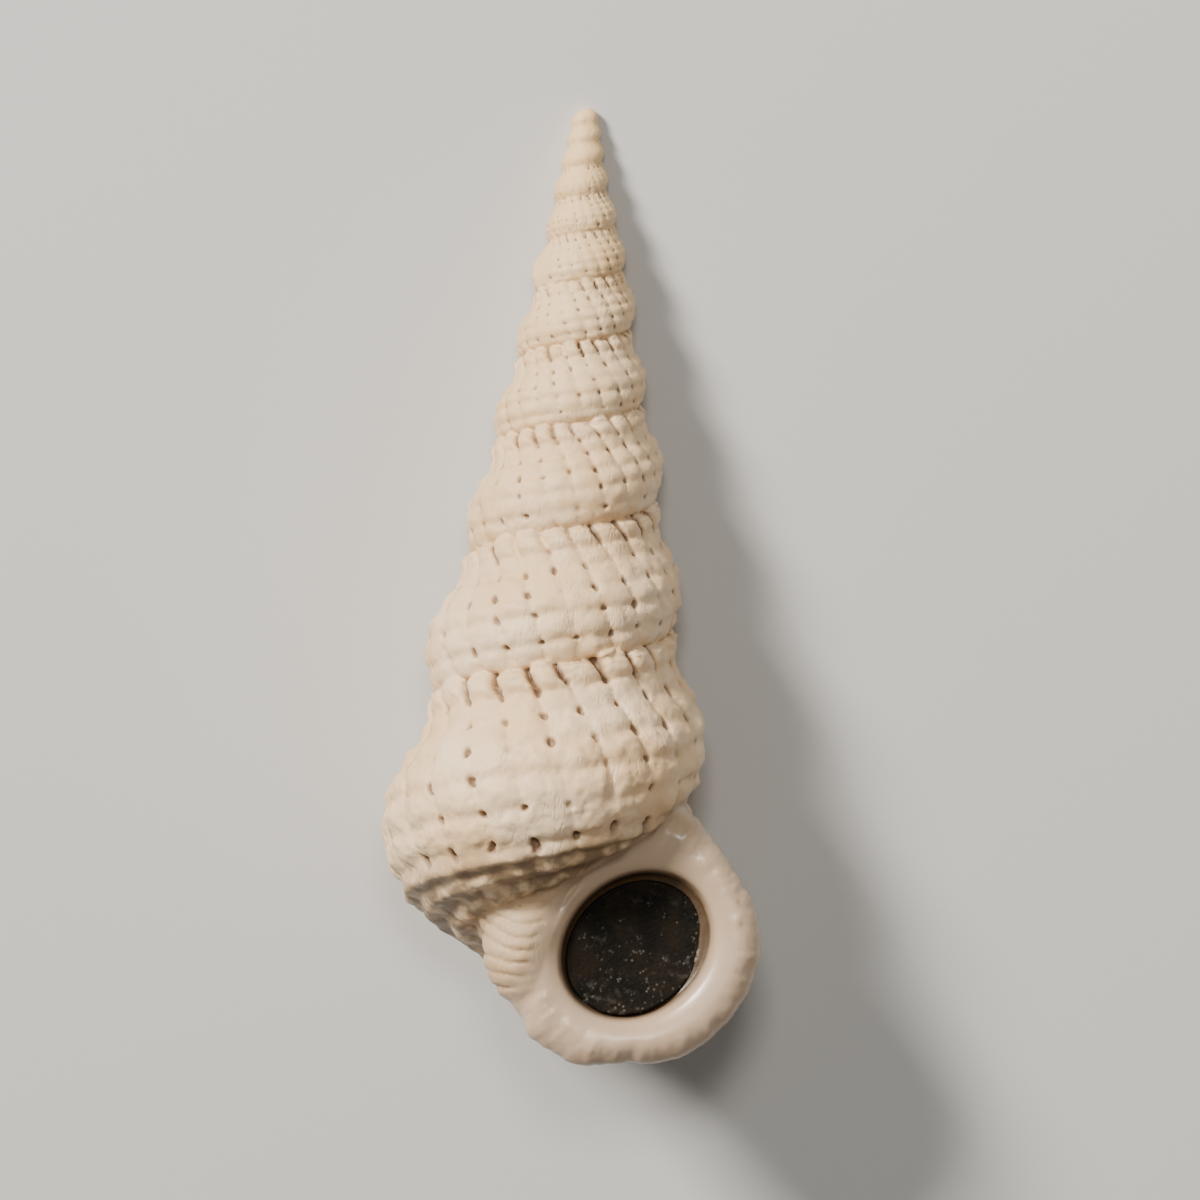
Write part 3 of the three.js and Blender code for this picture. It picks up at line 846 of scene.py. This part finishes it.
shellLook = {
    "cream": (0.8, 0.55, 0.31, 1),
    "warm": (0.64, 0.41, 0.215, 1),
    "white": (0.87, 0.665, 0.44, 1),
    "apex": (0.86, 0.585, 0.285, 1),
    # the lip's own pinkish grey, made darker than the body as painted shade where it faces down, away from
    # the key light
    "lip": (0.45, 0.335, 0.245, 1),
    # brown of the lip's flecks, also used for the painted shade in the low places
    "pit": (0.3, 0.195, 0.12, 1),
    # brown stain, which also stands in for painted shade on the base and the cord
    "stain": (0.17, 0.105, 0.055, 1),
    # near black: painted shade on the seat's wall inside the mouth
    "seat": (0.07, 0.04, 0.018, 1),
    "whitePatches": (0.28, 3.0, 0.5, 0.35, 0.7),
    "warmPatches": (0.8, 5.0, 0.65, 0.52, 0.78),
    "stainPatches": (1.1, 4.0, 0.5, 0.3, 0.6),
    "wornPatches": (0.55, 3.0, 0.5, 0.48, 0.6),
    "warmShare": 0.45,
    "apexShare": 0.6,
    "apexSpan": (2.0, 20.0),
    "stainShare": 0.85,  # on the base
    "cordStain": 0.42,
    "lipShare": 0.85,
    "specks": ((8.94, -38.95), (9.13, -39.95)),  # two small brown flecks on the lip
    "speckShare": 0.75,
    "speckSpread": (9.0, 6.0),  # the bigger, the smaller the fleck
    # where the painted shade in the low places starts and is full
    "pitSpan": (0.12, 0.75),
    "roughness": 0.5,
    "roughnessPlay": 0.25,
    "lipRoughness": 0.33,
    "tickStretch": (6.5, 1.1, 6.5),  # fine worn lines along the shell
    "tickSpan": (0.52, 0.66),
    "lipGrain": 0.15,
    "grainDepth": 0.00012,
    "grainStrength": 0.35,
    "lipCoat": 0.16,
    "lipCoatRoughness": 0.18,
    "subsurface": 0.05,
    "subsurfaceScale": 0.0005,
    "subsurfaceRadius": (1.0, 0.6, 0.4),
}


def attribute(tree, name):
    return tree.make("ShaderNodeAttribute", {"attribute_name": name})["Fac"]


def mixColour(tree, factor, a, b):
    made = tree.make("ShaderNodeMix", {"data_type": "RGBA"}, {"Factor": factor, 6: a, 7: b})
    return Wire(tree, made.node.outputs[2])


def objectPlace(tree):  # in millimetres
    where = tree.make("ShaderNodeTexCoord")["Object"]
    return tree.make("ShaderNodeVectorMath", {"operation": "SCALE"}, {0: where, "Scale": 1 / mm})[0]


def patches(tree, where, scale, detail, roughness, low, high):
    return tree.smooth(tree.noise(where, scale, detail, roughness), low, high)


def shellMaterial():
    look = shellLook
    material, tree = newMaterial("shell")
    where = objectPlace(tree)
    x, y, _ = tree.parts(where)
    depth, onLip, onCord, onBase, inSeat = (
        attribute(tree, name) for name in ("depth", "onLip", "onCord", "onBase", "inSeat"))
    bare = 1.0 - onLip

    colour = mixColour(tree, patches(tree, where, *look["whitePatches"]), look["cream"], look["white"])
    warmed = look["warmShare"] * patches(tree, where, *look["warmPatches"])
    colour = mixColour(tree, warmed, colour, look["warm"])
    colour = mixColour(tree, look["apexShare"] * tree.smooth(y, *look["apexSpan"]), colour, look["apex"])
    # the base and the cord darkened brown: partly a real stain, partly painted shade on the underside
    stainedAndShaded = look["stainShare"] * onBase * patches(tree, where, *look["stainPatches"])
    colour = mixColour(tree, stainedAndShaded, colour, look["stain"])
    colour = mixColour(tree, look["cordStain"] * onCord, colour, look["stain"])
    # the lip's own tone, partly painted shade
    colour = mixColour(tree, look["lipShare"] * onLip, colour, look["lip"])
    spreadX, spreadY = look["speckSpread"]
    for spot in look["specks"]:
        at = layDown @ Vector((*spot, mouth["lipPlane"])) / mm
        toX, toY = (x - at.x) * spreadX, (y - at.y) * spreadY
        fleck = tree.hump((toX * toX + toY * toY) ** 0.5) * onLip
        colour = mixColour(tree, look["speckShare"] * fleck, colour, look["pit"])
    # painted shade: creases, grooves, suture, slots, pits and layer steps darkened towards brown
    colour = mixColour(tree, tree.smooth(depth, *look["pitSpan"]), colour, look["pit"])
    # painted shade: the seat's wall inside the rim, down to the ledge, painted near black
    colour = mixColour(tree, inSeat, colour, look["seat"])

    roughness = look["roughness"] + look["roughnessPlay"] * (tree.noise(where, 2.4) - 0.5)
    roughness = roughness + (look["lipRoughness"] - look["roughness"]) * onLip
    stretched = tree.make("ShaderNodeVectorMath", {"operation": "MULTIPLY"}, {
        0: where, 1: look["tickStretch"]})
    ticks = tree.smooth(tree.noise(stretched, 1.0, 2.0), *look["tickSpan"])
    worn = ticks * patches(tree, where, *look["wornPatches"]) * bare
    grain = tree.noise(where, 7.0, 5.0, 0.7) * 0.6 + tree.noise(where, 22.0, 2.0) * 0.4
    grain = grain * (look["lipGrain"] + (1.0 - look["lipGrain"]) * bare) - 0.9 * worn
    bump = tree.make("ShaderNodeBump", {}, {
        "Strength": look["grainStrength"], "Distance": look["grainDepth"], "Height": grain})
    surface = tree.make("ShaderNodeBsdfPrincipled", {}, {
        "Base Color": colour, "Roughness": tree.clamp(roughness, 0.12, 0.95), "Normal": bump["Normal"],
        "Coat Weight": look["lipCoat"] * onLip * (1.0 - inSeat), "Coat Roughness": look["lipCoatRoughness"],
        "Subsurface Weight": look["subsurface"], "Subsurface Scale": look["subsurfaceScale"],
        "Subsurface Radius": look["subsurfaceRadius"]})
    tree.make("ShaderNodeOutputMaterial", {}, {"Surface": surface["BSDF"]})
    return material


def joinInto(item, others):
    points, faces = [], []
    for mesh in [item.data] + [other.data for other in others]:
        start = len(points)
        points += [v.co.copy() for v in mesh.vertices]
        faces += [[start + k for k in polygon.vertices] for polygon in mesh.polygons]
    joined = bpy.data.meshes.new(item.name)
    joined.from_pydata(points, [], faces)
    item.data = joined


def triangles(mesh):
    return sum(len(p.vertices) - 2 for p in mesh.polygons)


shellMesh = {"cell": 0.11, "quickCell": 0.2, "triangles": 192000}

print("shell: coil")
shellFinish = shellMaterial()
shell = newItem("wentletrap_shell", [(0, 0, 0)], [])
runGeometryTree(shell, *coilTree(shellFinish))

print("shell: mouth")
lip, throat, cord, hollow, tip = makeLip(), makeThroat(), makeCord(), makeHollow(), makeTip()

print("shell: joined")
joinInto(shell, [lip, throat, cord, tip])
remesh = shell.modifiers.new("remesh", "REMESH")
remesh.mode = "VOXEL"
remesh.voxel_size = shellMesh["cell"]
cut = shell.modifiers.new("hollow", "BOOLEAN")
cut.operation = "DIFFERENCE"
cut.solver = "FAST"
cut.object = hollow
bake(shell)

print("shell: sculpture on", len(shell.data.polygons), "faces")
runGeometryTree(shell, *reliefTree(shellFinish, lip, cord))
for extra in (lip, throat, cord, hollow, tip):
    bpy.data.objects.remove(extra)

faceCount = triangles(shell.data)
thin = shell.modifiers.new("thin", "DECIMATE")
thin.ratio = min(1.0, shellMesh["triangles"] / faceCount)
bake(shell)
shell.data.shade_smooth()
finishPiece(shell, "shell")
points = np.empty(len(shell.data.vertices) * 3, np.float32)
shell.data.vertices.foreach_get("co", points)
points[2::3] = np.maximum(points[2::3], 0.0)  # worn flat where it lies
shell.data.vertices.foreach_set("co", points)
shell.data.update()
print("shell:", faceCount, "triangles, of which", triangles(shell.data), "are kept")


# The lid

lid = {
    "gap": 0.08,
    "thickness": 0.45,
    "dish": 0.18,
    "size": 0.955,
    "shift": (-0.09, -0.12),
    "columns": 120,
    "faceRings": 44,
    "edge": 0.12,  # from either face to where it is full size
}
lidLook = {
    "dark": (0.0035, 0.0028, 0.002, 1),
    "brown": (0.011, 0.0075, 0.004, 1),
    "speck": (0.2, 0.2, 0.17, 1),
    "wornSlope": (2.6, -17.6),  # paler and more worn below and right of this line
    "wornSpan": (-1.5, 3.5),
    "brownPatches": (0.7, 4.0, 0.5, 0.4, 0.7),
    "grainScale": 4.5,
    "grainSpan": (0.12, 0.4),
    "speckShare": 0.4,
    "bloomPatches": (2.6, 5.0, 0.5, 0.5, 0.75),
    "bloomShare": 0.2,
    "roughness": 0.66,
    "roughnessPlay": 0.3,
    "specular": 0.1,
    "bumpDepth": 0.00008,
    "bumpStrength": 0.5,
}


def makeLid():
    bottom = -mouth["seatDepth"] + lid["gap"]
    top = bottom + lid["thickness"]
    edge = lid["edge"]
    profile = [(share, bottom) for share in (0.02, 0.5, 0.99)]
    profile += [(1.0, bottom + edge), (1.0, top - edge), (0.985, top - 0.03), (0.96, top)]
    for share in np.linspace(0.94, 0.02, lid["faceRings"]):
        profile.append((share, top - lid["dish"] * (1 - share ** 2)))
    rings = []
    for share, height in profile:
        ring = []
        for angle in angles(lid["columns"]):
            radius = share * (lid["size"] * (float(rimRadius(angle)) - lid["gap"]))
            x, y, z = mouthPoint(angle, radius, height)
            ring.append((x + lid["shift"][0], y + lid["shift"][1], z))
        rings.append(ring)
    return skin("wentletrap_operculum", rings, False)


def lidMaterial():
    look = lidLook
    material, tree = newMaterial("operculum")
    where = objectPlace(tree)
    x, y, _ = tree.parts(where)
    lineX, lineY = look["wornSlope"]
    lowerRight = tree.smooth(0.7 * (x - lineX) - (y - lineY), *look["wornSpan"])
    grains = tree.make("ShaderNodeTexVoronoi", {}, {"Vector": where, "Scale": look["grainScale"]})["Distance"]
    specks = tree.smooth(tree.noise(where, 1.6) + 0.16 * lowerRight, 0.52, 0.68)
    specks = (1.0 - tree.smooth(grains, *look["grainSpan"])) * specks
    bloom = tree.smooth(tree.noise(where, 0.6, 2.0) + 0.2 * lowerRight, 0.45, 0.75)
    bloom = patches(tree, where, *look["bloomPatches"]) * bloom
    colour = mixColour(tree, patches(tree, where, *look["brownPatches"]), look["dark"], look["brown"])
    colour = mixColour(tree, look["bloomShare"] * bloom, colour, look["speck"])
    colour = mixColour(tree, look["speckShare"] * specks, colour, look["speck"])
    roughness = look["roughness"] + look["roughnessPlay"] * (tree.noise(where, 3.0) - 0.5)
    bump = tree.make("ShaderNodeBump", {}, {
        "Strength": look["bumpStrength"], "Distance": look["bumpDepth"],
        "Height": tree.noise(where, 5.0, 4.0) + specks})
    surface = tree.make("ShaderNodeBsdfPrincipled", {}, {
        "Base Color": colour, "Roughness": roughness, "Normal": bump["Normal"],
        "Specular IOR Level": look["specular"]})
    tree.make("ShaderNodeOutputMaterial", {}, {"Surface": surface["BSDF"]})
    return material


print("operculum")
operculum = makeLid()
operculum.data.materials.append(lidMaterial())
operculum.data.shade_smooth()
finishPiece(operculum, "operculum")


# Floor, light and camera

studio = {
    "floor": (0.62, 0.63, 0.64, 1),
    "distance": 0.7,
    "frameWidth": 0.0564,  # what the picture's width takes in
    "filmWidth": 36,
    "roll": 3.2,
    "lookAt": (1.695, -25.23, 0.0),
    "key": {"position": (-0.36, 0.34, 0.34), "size": 0.14, "power": 7.4, "colour": (1.0, 0.93, 0.83)},
    "fill": {"position": (0.0, 0.25, 0.5), "size": 0.1, "power": 1.1, "colour": (1.0, 0.95, 0.86)},
    "sky": (1, 0.96, 0.91, 1),
    "skyStrength": 0.15,
}

print("studio")
floor = newItem("floor", [(-1, -1, 0), (1, -1, 0), (1, 1, 0), (-1, 1, 0)], [(0, 1, 2, 3)])
floorFinish, tree = newMaterial("floor")
surface = tree.make("ShaderNodeBsdfPrincipled", {}, {"Base Color": studio["floor"], "Roughness": 0.9})
tree.make("ShaderNodeOutputMaterial", {}, {"Surface": surface["BSDF"]})
floor.data.materials.append(floorFinish)

camera = bpy.data.objects.new("camera", bpy.data.cameras.new("camera"))
bpy.context.scene.collection.objects.link(camera)
camera.data.lens = studio["filmWidth"] * studio["distance"] / studio["frameWidth"]
camera.data.sensor_width = studio["filmWidth"]
camera.data.clip_end = 10
turned = layDown.to_3x3().normalized()
roll = math.radians(studio["roll"])
right = turned @ Vector((math.cos(roll), math.sin(roll), 0))
up = turned @ Vector((-math.sin(roll), math.cos(roll), 0))
back = turned @ Vector((0, 0, 1))
aim = layDown @ Vector(studio["lookAt"])
facing = Matrix((right, up, back)).transposed().to_4x4()
camera.matrix_world = Matrix.Translation(aim + back * studio["distance"]) @ facing
bpy.context.scene.camera = camera


def areaLight(name, position, size, power, colour):
    light = bpy.data.lights.new(name, "AREA")
    light.size, light.energy, light.color = size, power, colour
    item = bpy.data.objects.new(name, light)
    bpy.context.scene.collection.objects.link(item)
    towards = (aim - Vector(position)).to_track_quat("-Z", "Y").to_matrix().to_4x4()
    item.matrix_world = Matrix.Translation(position) @ towards


areaLight("key", **studio["key"])
areaLight("fill", **studio["fill"])
world = bpy.data.worlds.new("studio")
world.use_nodes = True
world.node_tree.nodes["Background"].inputs["Color"].default_value = studio["sky"]
world.node_tree.nodes["Background"].inputs["Strength"].default_value = studio["skyStrength"]
bpy.context.scene.world = world
